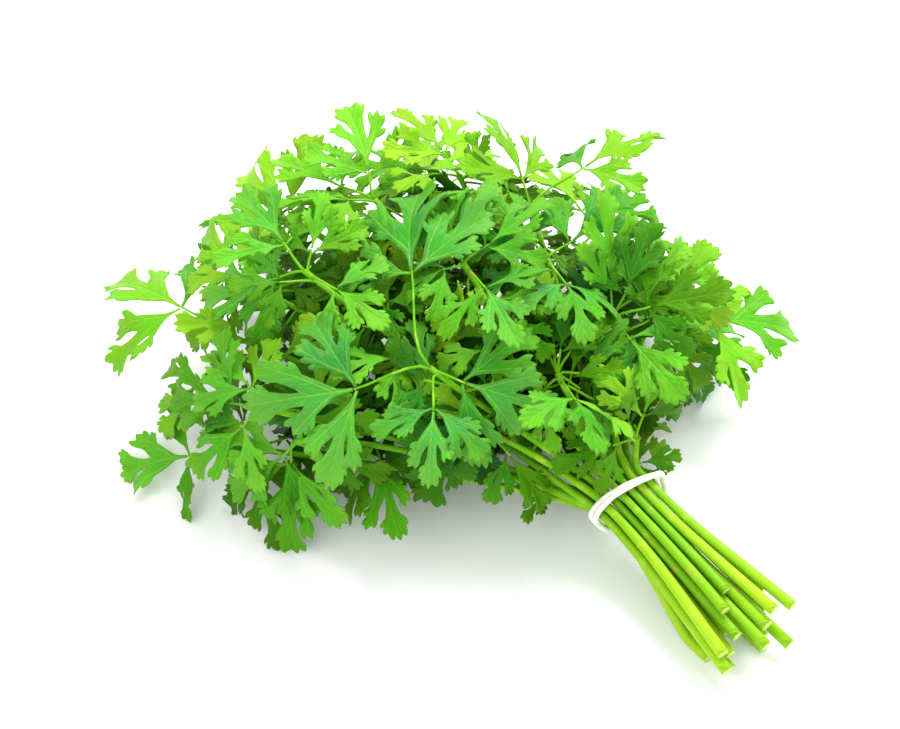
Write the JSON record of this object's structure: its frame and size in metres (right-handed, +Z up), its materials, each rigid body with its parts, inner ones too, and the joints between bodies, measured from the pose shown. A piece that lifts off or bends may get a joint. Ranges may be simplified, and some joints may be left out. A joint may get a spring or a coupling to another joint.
{
  "type": "parsley bunch",
  "caption": "Bunch of fresh flat-leaf parsley: leafy stems held by a white rubber band, lying on its side with the cut ends to one side.",
  "frame": {"origin": "centre of the bunch's box, on the surface that it lies on", "axes": "+X along the stems towards the cut ends, +Z up, +Y to the left seen from the leaves"},
  "size_m": [0.2962, 0.2588, 0.1074],
  "materials": {
    "fresh_parsley": "fresh soft leaf and stem, satin, vivid green above and paler below",
    "natural_rubber": "smooth satin, off-white"
  },
  "bodies": {
    "root": {"sprig_01": "fresh_parsley", "sprig_02": "fresh_parsley", "sprig_03": "fresh_parsley", "sprig_04": "fresh_parsley", "sprig_05": "fresh_parsley", "sprig_06": "fresh_parsley", "sprig_07": "fresh_parsley", "sprig_08": "fresh_parsley", "sprig_09": "fresh_parsley", "sprig_10": "fresh_parsley", "sprig_11": "fresh_parsley", "sprig_12": "fresh_parsley", "sprig_13": "fresh_parsley", "sprig_14": "fresh_parsley", "sprig_15": "fresh_parsley", "sprig_16": "fresh_parsley", "sprig_17": "fresh_parsley", "sprig_18": "fresh_parsley", "sprig_19": "fresh_parsley", "sprig_20": "fresh_parsley", "sprig_21": "fresh_parsley", "sprig_22": "fresh_parsley", "sprig_23": "fresh_parsley", "sprig_24": "fresh_parsley", "sprig_25": "fresh_parsley", "sprig_26": "fresh_parsley", "rubber_band": "natural_rubber"}
  },
  "joints": []
}
